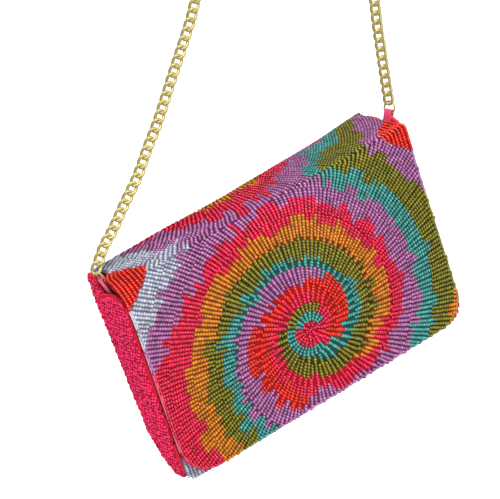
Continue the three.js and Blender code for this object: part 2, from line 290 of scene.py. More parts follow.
class StudioSettings(bpy.types.PropertyGroup):
    """Camera, floor and light."""

    camera: FloatVectorProperty(
        name="Camera", description="Place of the camera", default=(-1.4233, -2.0939, 0.006), subtype="XYZ",
        unit="LENGTH", precision=4,
    )
    azimuth: FloatProperty(
        name="Azimuth", description="Turn of the view from straight ahead", default=math.radians(-33.54),
        subtype="ANGLE",
    )
    elevation: FloatProperty(
        name="Elevation", description="How far the view looks down", default=math.radians(12.44), subtype="ANGLE"
    )
    lens: FloatProperty(name="Lens", description="Focal length in millimetres", default=325.28, min=1)
    floor: length_prop("Floor", "How far the floor lies below the bag", 0.08)
    key: FloatProperty(name="Key light", description="Strength of the main lamp", default=2.8, min=0)
    front: FloatProperty(name="Front light", description="Strength of the lamp beside the camera", default=1.1, min=0)
    sky: FloatProperty(name="Sky", description="Strength of the even light all round", default=0.45, min=0)
    glow: FloatProperty(name="Floor glow", description="Light that the floor itself gives", default=0.35, min=0)


def settings(context):
    """The add-on's property groups: beads, dyes, chain and studio."""
    scene = context.scene
    return scene.bag_beads, scene.bag_dyes, scene.bag_chain, scene.bag_studio


# Shapes of the bag


def smoothstep(part):
    part = np.clip(part, 0, 1)
    return part * part * (3 - 2 * part)


def table_value(rows, at, column):
    """A column's value at places in a table of rows, with smooth steps between the rows."""
    rows = np.array(rows, float)
    at = np.clip(at, rows[0, 0], rows[-1, 0])
    low = np.clip(np.searchsorted(rows[:, 0], at) - 1, 0, len(rows) - 2)
    part = smoothstep((at - rows[low, 0]) / (rows[low + 1, 0] - rows[low, 0]))
    return rows[low, column] + (rows[low + 1, column] - rows[low, column]) * part


def rounded_line(corners, steps=24):
    """A line of points through corners (y, z, bend), each rounded by its own bend."""
    points = [np.array(corners[0][:2], float)]
    for before, (y, z, bend), after in zip(corners, corners[1:-1], corners[2:]):
        corner = np.array((y, z), float)
        ends = [corner + bend * unit(np.array(side[:2], float) - corner) for side in (before, after)]
        part = np.linspace(0, 1, steps)[:, None]
        points.extend((1 - part) ** 2 * ends[0] + 2 * part * (1 - part) * corner + part**2 * ends[1])
    points.append(np.array(corners[-1][:2], float))
    return np.array(points)


def unit(vectors):
    return vectors / np.linalg.norm(vectors, axis=-1, keepdims=True)


def distances(line):
    """How far along a line of points each of them lies."""
    return np.concatenate(([0], np.cumsum(np.linalg.norm(np.diff(line, axis=0), axis=1))))


def depth_at(place):
    return DEPTH_LEFT + (DEPTH_RIGHT - DEPTH_LEFT) * (place + 1) / 2


def pillow(swell, place, height):
    """How far a padded wall swells out: most in its middle, nothing at its sides, base and top."""
    return swell * (1 - place**2) * np.sin(np.pi * np.clip(height / HEIGHT, 0, 1))


class Panel:
    """An outer face of the bag laid flat: u runs to the right and v up as seen from outside, in millimetres."""

    step = 0.5

    def __init__(self, across, lines):
        """Takes the columns' u, and for each column its line of points in the bag's frame."""
        self.across = across
        self.lengths = np.array([distances(line)[-1] for line in lines])
        v = np.arange(0, self.lengths.max() + 2 * self.step, self.step)
        self.points = np.array([self.even(line, v) for line in lines])

    @staticmethod
    def even(line, v):
        """Points evenly along a line, which goes straight on past its end."""
        along = distances(line)
        points = np.stack([np.interp(v, along, line[:, k]) for k in range(3)], axis=1)
        beyond = np.maximum(v - along[-1], 0)[:, None]
        return points + beyond * unit(line[-1] - line[-2])

    def length(self, u):
        return np.interp(u, self.across, self.lengths)

    def point(self, u, v):
        """Points of the face at u and v."""
        column = (u - self.across[0]) / (self.across[1] - self.across[0])
        row = np.asarray(v) / self.step
        i = np.clip(np.floor(column).astype(int), 0, len(self.across) - 2)
        j = np.clip(np.floor(row).astype(int), 0, self.points.shape[1] - 2)
        a, b = (column - i)[:, None], (row - j)[:, None]
        near = self.points[i, j] * (1 - b) + self.points[i, j + 1] * b
        far = self.points[i + 1, j] * (1 - b) + self.points[i + 1, j + 1] * b
        return near * (1 - a) + far * a


COLUMNS = np.linspace(-1, 1, 121)
LINE_STEPS = 400


def flap_line(place):
    """The flap's line at a place across, from its lower edge over the top to the seam on the back."""
    top = table_value(FLAP_SECTIONS, place, 1)
    bend = table_value(FLAP_SECTIONS, place, 2)
    depth = depth_at(place)
    line = rounded_line(((0, FLAP_LOW), (0, top, bend), (depth, top, FLAP_BACK_BEND), (depth, FLAP_SEAM)))
    _, y, z = Panel.even(np.insert(line, 0, 0, axis=1), np.linspace(0, distances(line)[-1], LINE_STEPS)).T
    wide, narrow = (table_value(FLAP_SECTIONS, place, column) for column in (3, 4))
    over_top = smoothstep((y - wide) / (narrow - wide))
    front_half = FLAP_LEFT if place < 0 else FLAP_RIGHT
    top_half = FLAP_TOP_HALF + (FLAP_BACK_HALF - FLAP_TOP_HALF) * smoothstep((y - depth) / FLAP_WIDENS + 1)
    half = front_half + (top_half - front_half) * over_top
    return np.stack((place * half, y - pillow(FLAP_PILLOW, place, z) * (1 - over_top), z), axis=1)


def back_profile(place):
    """The back's side-view line, from its base's front edge round the bend and up to the flap's seam."""
    depth = depth_at(place)
    return rounded_line((
        (BOX_FRONT, 0),
        (depth * BASE_FLAT, 0, BASE_BEND),
        (depth * HEEL_DEPTH, HEEL_HEIGHT, HEEL_BEND),
        (depth, FLAP_SEAM - SEAM_GAP),
    ))


def corner_lift(x):
    """How far the base's rounded end lifts it at a place across."""
    corner = np.where(x < 0, CORNER_LEFT, CORNER_RIGHT)
    into = np.maximum(corner - (FRONT_HALF - np.abs(x)), 0)
    return corner - np.sqrt(corner**2 - into**2)


def back_line(place):
    """The back's line at a place across, from the flap's seam down to the base's front edge."""
    profile = back_profile(place)[::-1]
    line = np.insert(profile, 0, place * BACK_HALF, axis=1)
    x, y, z = Panel.even(line, np.linspace(0, distances(line)[-1], LINE_STEPS)).T
    lift = corner_lift(x) * np.maximum(1 - z / CORNER_FADE, 0)
    return np.stack((x, y + pillow(BACK_PILLOW, place, z), z + lift), axis=1)


class Gusset:
    """The outer face of one gusset: u runs to the right as seen from outside, along the bag's depth, and v up."""

    def __init__(self, side, top_edge, lowest):
        self.side, self.top_edge, self.lowest = side, top_edge, lowest
        self.profile = back_profile(side)

    def depth(self, v):
        return np.interp(v, self.profile[:, 1], self.profile[:, 0])

    def place(self, u, v):
        """How far back a point lies, from 0 at the front to 1 at the back."""
        return (self.side * u - BOX_FRONT) / (self.depth(v) - BOX_FRONT)

    def top(self, place):
        return table_value(self.top_edge, np.clip(place, 0, 1), 1)

    def point(self, u, v):
        swell = pillow(GUSSET_PILLOW, np.clip(2 * self.place(u, v) - 1, -1, 1), v)
        return np.stack((self.side * (BOX_HALF + swell), self.side * u, v), axis=1)

    def spread(self, across, along):
        """u and v of points spread over the whole face, from its lower to its upper edge."""
        place = across if self.side > 0 else 1 - across
        v = self.lowest + (self.top(place) - self.lowest) * along
        return self.side * (BOX_FRONT + (self.depth(v) - BOX_FRONT) * place), v


def front_point(u, v):
    return np.stack((u, np.full_like(u, FRONT_FACE), v), axis=1)


def flap_panel():
    return Panel(COLUMNS * FLAP_HALF, [flap_line(place) for place in COLUMNS])


def back_panel():
    return Panel(COLUMNS * BACK_HALF, [back_line(place) for place in COLUMNS])


def flap_corner(u):
    return np.where(u < 0, FLAP_CORNER_LEFT, FLAP_CORNER_RIGHT)


def flap_low(u):
    """How far up the flap's rounded lower corners reach at u."""
    corner = flap_corner(u)
    into = np.maximum(corner - (FLAP_HALF - np.abs(u)), 0)
    return corner - np.sqrt(np.maximum(corner**2 - into**2, 0))


def flap_margin(u, v):
    """How far a point lies inside the flap's two ends and lower edge."""
    from_end, corner = FLAP_HALF - np.abs(u), flap_corner(u)
    in_corner = (from_end < corner) & (v < corner)
    return np.where(in_corner, corner - np.hypot(corner - from_end, corner - v), np.minimum(from_end, v))


# From the bag's frame to the shared frame


def tilted(points):
    """Points of the bag's frame turned as the bag hangs."""
    x, y, z = np.asarray(points, float).T
    across, up = math.cos(TILT), math.sin(TILT)
    return np.stack((x * across - z * up, y, x * up + z * across), axis=-1)


def bag_place():
    """Where the bag's own origin hangs, in metres, found from the left ring."""
    low, high = (np.array(corner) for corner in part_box("ring_left"))
    return (low + high) / 2 - tilted(FITTINGS["left"][0]) * MM


def hung(points):
    """Points of the bag's frame in the shared frame, in metres."""
    return bag_place() + tilted(points) * MM


def lie(point, u, v, step=0.3):
    """Points of a face with its unit directions to the right, up and out."""
    right = unit(point(u + step, v) - point(u - step, v))
    up = point(u, v + step) - point(u, v - step)
    out = unit(np.cross(right, up))
    return point(u, v), right, np.cross(out, right), out


# The dyed spiral and its strings of beads


def dye_at(u, v, jag=0):
    """Which of DYES a point of the pattern takes, as an index. jag moves the bands' edges."""
    past = np.maximum(v - FOLD_V, 0)
    on_top = np.minimum(past, MIRROR_TOP)
    drawn = table_value(MIRROR_DRAWN, u, 1) * (MIRROR_FOLD + (1 - MIRROR_FOLD) * on_top / MIRROR_WHOLE)
    v = np.minimum(v, FOLD_V) - on_top * drawn - (past - on_top)
    radius = np.hypot(u - CORE_U, v - CORE_V) + jag
    turn = np.arctan2(v - CORE_V, u - CORE_U) / (2 * np.pi)
    turn = (turn + 0.25) % 1 - 0.25
    rows = np.array(BAND_EDGES, float)
    band = np.zeros(len(u), int)
    pale = np.zeros(len(u), bool)
    for lap in range(4):
        at = turn + lap
        offset = radius - (WINDING * at - WINDING_START)
        edges = np.stack([np.interp(at, rows[:, 0], column) for column in rows[:, 1:].T])
        reached = offset >= edges[0]
        band = np.where(reached, (offset >= edges).sum(axis=0), band)
        pale = np.where(reached, (at > PALE_FROM_TURN) & (offset < edges[1]), pale)
    lookup = np.array([DYES.index(name) for name in BAND_DYES])
    return np.where(pale, DYES.index("light_blue"), lookup[band])


def in_wedge(u, v):
    """True in the orange wedges at both ends of the fold."""
    found = np.zeros(np.shape(u), bool)
    for end, (long, tip, below, above) in WEDGES.items():
        part = np.maximum(1 - (FLAP_HALF - end * u) / long, 0) ** WEDGE_CURVE
        found |= (v > tip - below * part) & (v < tip + above * part)
    return found


def flap_dye(u, v):
    """The dye of the flap's cloth, with the wedges."""
    return np.where(in_wedge(u, v), DYES.index("orange"), dye_at(u, v))


def halvings(number):
    """How many times a whole number can be halved."""
    return 9 if number == 0 else (number & -number).bit_length() - 1


class Strings:
    """Beads along strings on a flat pattern.

    Rows: u, v, the string's direction, a bead's width and length, the tooth's jag and the string's number."""

    def __init__(self):
        self.rows = []

    def add(self, u, v, turn, width, length, jag):
        columns = (u, v, turn, width, length, jag, len(self.rows))
        self.rows.append(np.stack([np.broadcast_to(column, len(u)) for column in columns]))

    def joined(self):
        return np.concatenate(self.rows, axis=1)


def radial_strings(beads, chance):
    """Strings along the radii of the spiral, in ribbons that wind round with it."""
    spacing, long, wide = beads.row_spacing / MM, beads.length / MM, beads.width / MM
    strings = Strings()
    ribbon = WINDING / RIBBONS
    for inner in RIBBON_FIRST + ribbon * np.arange(RIBBONS):
        turn = (WINDING_START - inner - ribbon + long) / WINDING
        number, same_tooth, jag = 0, 0, 0
        while True:
            near = WINDING * turn - WINDING_START + inner
            far = near + ribbon
            if near > SWIRL_REACH:
                break
            step = spacing / max(FAN_AT * far + (1 - FAN_AT) * max(near, 0), FAN_AT * ribbon)
            crowd = CROWDED * wide / step
            start = max(near, CORE_REACH, crowd / 2 ** halvings(number))
            if same_tooth == 0:
                jag = chance.uniform(-1, 1) * beads.tooth / MM * min(1, TOOTH_LEAST + far / TOOTH_WHOLE)
                same_tooth = chance.integers(*TOOTH_STRINGS)
            count = int(round((far - start) / long))
            if count > 0:
                even = (far - start) / count
                radius = start + even * (np.arange(count) + 0.5)
                stage = np.maximum(np.ceil(np.log2(np.maximum(crowd / radius, 1e-6))), 0)
                room = step * radius * 2**stage
                sway = chance.normal(0, STRING_SWAY) + chance.normal(0, BEAD_SWAY, count)
                angle = 2 * np.pi * turn + sway / radius
                u = CORE_U + radius * np.cos(angle)
                v = CORE_V + radius * np.sin(angle)
                strings.add(u, v, angle, np.minimum(WIDEST * wide, room), even, jag)
            turn += step / (2 * np.pi)
            number += 1
            same_tooth -= 1
    for ring in range(CORE_RINGS):
        radius = CORE_REACH * (ring + (np.arange(CORE_BEADS) + 0.5) / CORE_BEADS) / CORE_RINGS
        count = round(2 * np.pi * radius.mean() / spacing)
        room = 2 * np.pi * radius / count
        for turn in (np.arange(count) + chance.uniform()) / count:
            angle = 2 * np.pi * turn + chance.normal(0, CORE_SWAY, CORE_BEADS) / radius
            u, v = CORE_U + radius * np.cos(angle), CORE_V + radius * np.sin(angle)
            strings.add(u, v, angle, np.minimum(WIDEST * wide, room), long, chance.normal(0, CORE_TOOTH))
    return strings.joined()


def wedge_strings(beads):
    """Strings across the fold that fill both orange wedges."""
    spacing, long, wide = beads.row_spacing / MM, beads.length / MM, beads.width / MM
    strings = Strings()
    for end, (reach, tip, below, above) in WEDGES.items():
        for from_end in np.arange(EDGE_CLEAR + 0.1, reach, spacing):
            part = (1 - from_end / reach) ** WEDGE_CURVE
            v = np.arange(tip - below * part, tip + above * part, long) + long / 2
            strings.add(np.full(len(v), end * (FLAP_HALF - from_end)), v, np.pi / 2, wide, long, 0)
    return strings.joined()


def swirl_beads(beads, chance):
    """All beads of the flap and of the back below it: columns u, v, direction, width, length and dye."""
    sides = []
    for over in (False, True):
        rows = radial_strings(beads, chance)
        rows = rows[:, rows[1] <= FOLD_V]
        if over:
            rows[1] = 2 * FOLD_V - rows[1]
            rows[2] = -rows[2]
        dye = dye_at(rows[0], rows[1], rows[5])
        same = rows[6, 1:] == rows[6, :-1]
        first, last = np.insert(~same, 0, True), np.append(~same, True)
        lone = np.flatnonzero(first & ~last)
        dye[lone] = dye[lone + 1]
        lone = np.flatnonzero(last & ~first)
        dye[lone] = dye[lone - 1]
        rows[5] = dye
        sides.append(rows[:, ~in_wedge(rows[0], rows[1])])
    wedges = wedge_strings(beads)
    wedges[5] = DYES.index("orange")
    return np.concatenate((*sides, wedges), axis=1)


# Meshes


def deselect_all():
    if bpy.context.object and bpy.context.object.mode != "OBJECT":
        bpy.ops.object.mode_set(mode="OBJECT")
    bpy.ops.object.select_all(action="DESELECT")


def vertex_places(piece):
    places = np.empty(len(piece.data.vertices) * 3, np.float32)
    piece.data.vertices.foreach_get("co", places)
    return places.reshape(-1, 3)


def select_vertices(piece, chosen):
    """Goes into edit mode with only those vertices selected whose places the test chooses."""
    bpy.ops.object.mode_set(mode="EDIT")
    bpy.ops.mesh.select_mode(type="VERT")
    bpy.ops.mesh.select_all(action="DESELECT")
    bpy.ops.object.mode_set(mode="OBJECT")
    piece.data.vertices.foreach_set("select", chosen(vertex_places(piece)))
    bpy.ops.object.mode_set(mode="EDIT")


def named(piece, name):
    piece.name = name
    piece.data.name = name
    return piece


def apply_modifier(piece, kind, **values):
    modifier = piece.modifiers.new(kind.title(), kind)
    for name, value in values.items():
        setattr(modifier, name, value)
    bpy.context.view_layer.objects.active = piece
    bpy.ops.object.modifier_apply(modifier=modifier.name)


def shaped_grid(name, columns, rows, place):
    """A grid whose vertices place(across, along) sets in the shared frame. Both run from 0 to 1."""
    deselect_all()
    bpy.ops.mesh.primitive_grid_add(x_subdivisions=columns, y_subdivisions=rows, size=2)
    piece = named(bpy.context.object, name)
    flat = vertex_places(piece)
    across, along = (flat[:, 0] + 1) / 2, (flat[:, 1] + 1) / 2
    piece.data.vertices.foreach_set("co", place(across, along).astype(np.float32).ravel())
    piece.data.update()
    bpy.ops.object.shade_smooth()
    return piece, across, along


def set_dye(piece, colours):
    """Keeps a colour for each vertex as the attribute that the finishes read."""
    # On beads and on the cloth under them this colour holds painted shade, and on beads a painted highlight, besides
    # the dye
    layer = piece.data.attributes.new("dye", "FLOAT_COLOR", "POINT")
    layer.data.foreach_set("color", np.insert(colours, 3, 1, axis=1).astype(np.float32).ravel())


def linear(colour):
    """A screen colour in the renderer's own values."""
    colour = np.array(colour, float)
    return np.where(colour <= 0.04045, colour / 12.92, ((colour + 0.055) / 1.055) ** 2.4)


def painted_gap_shade(colours, share=1):
    """Colours with painted shade: fuller and darker, as they look low between the beads, where light has passed from
    bead to bead.
    """
    return colours ** (1 + SHADE_DEEPENS * share) * (1 - SHADE_DARKENS * share)


def dye_palette(dyes):
    return np.array([linear(getattr(dyes, name)) for name in DYES])


class Template:
    """One small shape that is copied many times: its corners, its faces and its flat map."""

    def __init__(self, piece):
        mesh = piece.data
        self.corners = vertex_places(piece).astype(float)
        self.faces = [list(face.vertices) for face in mesh.polygons]
        flat = np.empty(len(mesh.loops) * 2, np.float32)
        mesh.uv_layers.active.uv.foreach_get("vector", flat)
        self.flat = flat.reshape(-1, 2)
        # 1 on a bead's crest, 0 at its sides: the painted shade is strongest where this is low
        self.crest = np.clip(2 * self.corners[:, 2], 0, 1) ** 2
        # Where the painted highlight lies: the top of the bead's middle ring
        self.painted_glint = self.crest**3 * (np.abs(self.corners[:, 0]) < 0.25)
        bpy.data.objects.remove(piece)


def bead_template(sides):
    """A seed bead one unit long and wide, its hole along X."""
    deselect_all()
    bpy.ops.mesh.primitive_cylinder_add(vertices=sides, radius=0.5, depth=1, rotation=(0, math.pi / 2, 0))
    bead = named(bpy.context.object, "bead_template")
    bpy.ops.object.transform_apply(location=True, rotation=True, scale=True)
    bpy.ops.object.mode_set(mode="EDIT")
    bpy.ops.mesh.select_mode(type="EDGE")
    bpy.ops.mesh.select_all(action="DESELECT")
    bpy.ops.object.mode_set(mode="OBJECT")
    places = vertex_places(bead)
    for edge in bead.data.edges:
        first, last = (places[k] for k in edge.vertices)
        edge.select = abs(first[0] - last[0]) > 0.5
    bpy.ops.object.mode_set(mode="EDIT")
    bpy.ops.mesh.subdivide(number_cuts=1)
    select_vertices(bead, lambda places: np.abs(places[:, 0]) > 0.25)
    bpy.ops.transform.resize(value=(1, BEAD_ENDS, BEAD_ENDS))
    bpy.ops.mesh.select_all(action="SELECT")
    bpy.ops.uv.smart_project(island_margin=0.03)
    bpy.ops.object.mode_set(mode="OBJECT")
    return Template(bead)


def strew(name, template, places, frames, colours=None):
    """One joined mesh of copies of a template, each with its place and its three scaled directions, in metres."""
    count, corners = len(places), len(template.corners)
    vertices = places[:, None] + template.corners @ frames
    sizes = np.array([len(face) for face in template.faces])
    loops = np.concatenate(template.faces)
    mesh = bpy.data.meshes.new(name)
    mesh.vertices.add(count * corners)
    mesh.vertices.foreach_set("co", vertices.astype(np.float32).ravel())
    mesh.loops.add(count * len(loops))
    mesh.loops.foreach_set("vertex_index", (loops + corners * np.arange(count)[:, None]).astype(np.int32).ravel())
    mesh.polygons.add(count * len(sizes))
    starts = np.concatenate(([0], np.cumsum(sizes)[:-1])) + len(loops) * np.arange(count)[:, None]
    mesh.polygons.foreach_set("loop_start", starts.astype(np.int32).ravel())
    cells = math.ceil(math.sqrt(count))
    cell = np.stack((np.arange(count) % cells, np.arange(count) // cells), axis=1)
    flat = (cell[:, None] + 0.1 + 0.8 * template.flat) / cells
    mesh.uv_layers.new(name="OFBake").uv.foreach_set("vector", flat.astype(np.float32).ravel())
    mesh.update(calc_edges=True)
    mesh.validate()
    mesh.shade_smooth()
    piece = bpy.data.objects.new(name, mesh)
    bpy.context.collection.objects.link(piece)
    if colours is not None:
        # Painted shade on each bead's sides and ends, then a painted highlight at the middle of its crest
        dyed = painted_gap_shade(colours[:, None], 1 - template.crest[:, None])
        dyed += template.painted_glint[:, None] * (1 - dyed) * (PAINTED_GLINT + TINTED_PAINTED_GLINT * np.sqrt(dyed))
        set_dye(piece, dyed.reshape(-1, 3))
    return piece


def sew(name, template, point, rows, colours, chance):
    """Beads on a face, lying along their strings with their tops level with it.

    rows: u, v, direction, width and length."""
    u, v, turn, wide, long = rows[:5]
    place, right, up, out = lie(point, u, v)
    turn = turn + chance.normal(0, BEAD_TURN, len(u))
    wide = wide * (1 + chance.normal(0, BEAD_SIZE, len(u)))
    along = right * np.cos(turn)[:, None] + up * np.sin(turn)[:, None]
    side = np.cross(out, along)
    high = wide * BEAD_HEIGHT
    sink = high / 2 + np.abs(chance.normal(0, BEAD_SINK, len(u)))
    centre = hung(place - out * sink[:, None])
    frames = np.stack((along * long[:, None], side * wide[:, None], out * high[:, None]), axis=1)
    return strew(name, template, centre, tilted(frames.reshape(-1, 3)).reshape(-1, 3, 3) * MM, colours)


def toned(colours, tone, chance):
    """Colours of single beads, each a little off its dye in lightness and in hue."""
    light, hue = chance.normal(0, 1, (len(colours), 1)), chance.normal(0, HUE_SHARE, (len(colours), 3))
    return np.clip(colours * (1 + tone * np.clip(light + hue, -TONE_LIMIT, TONE_LIMIT)), 0, 1)


def cloth(name, columns, rows, point, spread, sink, wall, colour_at, rim=0):
    """A stiffened cloth wall under the beads: spread(across, along) gives u and v, colour_at(u, v) its colours.

    Its rim is dyed too, or of the lining where rim is 1."""

    def place(across, along):
        u, v = spread(across, along)
        points, _, _, out = lie(point, u, v)
        return hung(points - out * sink)

    piece, across, along = shaped_grid(name, columns, rows, place)
    set_dye(piece, colour_at(*spread(across, along)))
    piece.data.materials.append(cloth_finish())
    piece.data.materials.append(lining_finish())
    thick = (wall - sink) * MM
    apply_modifier(piece, "SOLIDIFY", thickness=thick, offset=-1, material_offset=1, material_offset_rim=rim)
    return piece


# Finishes


def new_finish(name):
    """A new node material with its shader: returns material, nodes, links and the shader's node."""
    material = bpy.data.materials.new(name)
    material.use_nodes = True
    tree = material.node_tree
    return material, tree.nodes, tree.links, tree.nodes["Principled BSDF"]


def made_once(name):
    """Makes a finish of a function that sets up its nodes: a material made at its first use and kept after that."""

    def finish_of(set_up):
        def finish():
            if name not in bpy.data.materials:
                _, nodes, links, shader = new_finish(name)
                set_up(nodes, links, shader)
            return bpy.data.materials[name]

        return finish

    return finish_of


@made_once("glass_beads")
def bead_finish(nodes, links, shader):
    """Glossy opaque glass in the colour kept on each bead: its dye, with painted shade on its sides and a painted
    highlight on its crest.
    """
    follow_dye(nodes, links, shader)
    shader.inputs["Roughness"].default_value = 0.2
    shader.inputs["Specular IOR Level"].default_value = 0.6


@made_once("dyed_cloth")
def cloth_finish(nodes, links, shader):
    """Dyed base cloth between the beads, with a fine weave. Under the beads its kept colour has painted shade, fuller
    and darker.
    """
    follow_dye(nodes, links, shader)
    shader.inputs["Roughness"].default_value = 0.85
    shader.inputs["Specular IOR Level"].default_value = 0.2
    weave_bump(nodes, links, shader, 1400, 0.3)


def follow_dye(nodes, links, shader):
    """The colour that set_dye keeps on a piece, with the painted shade and painted highlight that it holds."""
    dye = nodes.new("ShaderNodeAttribute")
    dye.attribute_name = "dye"
    links.new(dye.outputs["Color"], shader.inputs["Base Color"])


def weave_bump(nodes, links, shader, threads, strength):
    """Fine crossing threads, as many as given to the metre."""
    where = nodes.new("ShaderNodeTexCoord")
    bump = nodes.new("ShaderNodeBump")
    bump.inputs["Strength"].default_value = strength
    bump.inputs["Distance"].default_value = 0.0002
    waves = []
    for direction in ("X", "Z"):
        wave = nodes.new("ShaderNodeTexWave")
        wave.bands_direction = direction
        wave.inputs["Scale"].default_value = threads * 2 * math.pi / 20
        links.new(where.outputs["Object"], wave.inputs["Vector"])
        waves.append(wave)
    both = nodes.new("ShaderNodeMath")
    both.operation = "ADD"
    for wave, socket in zip(waves, both.inputs):
        links.new(wave.outputs["Fac"], socket)
    links.new(both.outputs["Value"], bump.inputs["Height"])
    links.new(bump.outputs["Normal"], shader.inputs["Normal"])


def mottled(nodes, links, shader, colour, scale, spread):
    """A colour that wanders a little between darker and lighter."""
    where = nodes.new("ShaderNodeTexCoord")
    noise = nodes.new("ShaderNodeTexNoise")
    noise.inputs["Scale"].default_value = scale
    ramp = nodes.new("ShaderNodeValToRGB")
    ramp.color_ramp.elements[0].color = (*np.clip(colour * (1 - spread), 0, 1), 1)
    ramp.color_ramp.elements[1].color = (*np.clip(colour * (1 + spread), 0, 1), 1)
    links.new(where.outputs["Object"], noise.inputs["Vector"])
    links.new(noise.outputs["Fac"], ramp.inputs["Fac"])
    links.new(ramp.outputs["Color"], shader.inputs["Base Color"])


@made_once("lining_cloth")
def lining_finish(nodes, links, shader):
    """Plain woven cloth inside the bag."""
    mottled(nodes, links, shader, linear(bpy.context.scene.bag_dyes.lining), 400, 0.2)
    shader.inputs["Roughness"].default_value = 0.8
    shader.inputs["Sheen Weight"].default_value = 0.2
    weave_bump(nodes, links, shader, 1600, 0.4)


@made_once("satin_ribbon")
def satin_finish(nodes, links, shader):
    """Soft satin ribbon with a sheen and fine cross ribs."""
    mottled(nodes, links, shader, linear(bpy.context.scene.bag_dyes.satin), 900, 0.15)
    shader.inputs["Roughness"].default_value = 0.42
    shader.inputs["Sheen Weight"].default_value = 0.4
    weave_bump(nodes, links, shader, 2400, 0.25)


@made_once("pale_gold")
def gold_finish(nodes, links, shader):
    """Pale gold plating."""
    mottled(nodes, links, shader, linear(bpy.context.scene.bag_dyes.gold), 300, 0.12)
    shader.inputs["Metallic"].default_value = 0.6
    shader.inputs["Roughness"].default_value = 0.48


def settle(piece, slot, *nodes):
    """Hangs a piece on the bag, with the solids that it stands for hidden; slot is not used."""
    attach(piece, "root")
    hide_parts(*nodes)
    return piece


# Operators


class BAG_OT_stage(bpy.types.Operator):
    """Set up the camera, the pale floor and the soft light"""

    bl_idname = "beaded_bag.stage"
    bl_label = "Set the stage"

    def execute(self, context):
        studio = settings(context)[3]
        self.camera(context, studio)
        self.floor(studio)
        self.lights(context, studio)
        context.scene.view_settings.view_transform = "Standard"
        return {"FINISHED"}

    def camera(self, context, studio):
        deselect_all()
        bpy.ops.object.camera_add(location=studio.camera)
        camera = named(context.object, "photo_camera")
        level = math.cos(studio.elevation)
        back = Vector((
            math.sin(studio.azimuth) * level, -math.cos(studio.azimuth) * level, math.sin(studio.elevation),
        ))
        camera.rotation_euler = back.to_track_quat("Z", "Y").to_euler()
        camera.data.lens = studio.lens
        camera.data.clip_end = 50
        context.scene.camera = camera

    def floor(self, studio):
        deselect_all()
        low = CAD_BOX[0][2] - studio.floor
        bpy.ops.mesh.primitive_plane_add(size=30, location=(0, 0, low))
        floor = named(bpy.context.object, "pale_floor")
        bpy.ops.object.transform_apply(location=True, rotation=True, scale=True)
        material, nodes, links, shader = new_finish("pale_floor")
        mottled(nodes, links, shader, np.array((0.93, 0.93, 0.93)), 40, 0.01)
        shader.inputs["Roughness"].default_value = 0.9
        shader.inputs["Specular IOR Level"].default_value = 0.1
        shader.inputs["Emission Color"].default_value = (1, 1, 1, 1)
        shader.inputs["Emission Strength"].default_value = studio.glow
        floor.data.materials.append(material)
        floor.visible_glossy = False

    def lights(self, context, studio):
        world = bpy.data.worlds.new("soft_sky")
        world.use_nodes = True
        sky = world.node_tree.nodes["Background"]
        sky.inputs["Color"].default_value = (1, 1, 1, 1)
        sky.inputs["Strength"].default_value = studio.sky
        world.cycles_visibility.glossy = False
        context.scene.world = world
        self.lamp("key_light", *KEY_LAMP, studio.key)
        self.lamp("front_light", *FRONT_LAMP, studio.front)

    def lamp(self, name, comes_from, angle, strength):
        deselect_all()
        bpy.ops.object.light_add(type="SUN", location=comes_from)
        lamp = named(bpy.context.object, name)
        lamp.rotation_euler = Vector(comes_from).to_track_quat("Z", "Y").to_euler()
        lamp.data.angle = angle
        lamp.data.energy = strength


def sew_by_dye(part, template, point, rows, beads, dyes, chance, node):
    """Sews a face's beads as one piece for each dye that it has. rows: u, v, direction, width, length, dye."""
    palette = dye_palette(dyes)
    for number, dye in enumerate(DYES):
        chosen = rows[:, rows[5] == number]
        if chosen.shape[1] == 0:
            continue
        colours = toned(np.repeat(palette[number][None], chosen.shape[1], axis=0), beads.tone, chance)
        piece = sew(f"{part}_beads_{dye}", template, point, chosen, colours, chance)
        piece.data.materials.append(bead_finish())
        settle(piece, "swirl_beads", node)


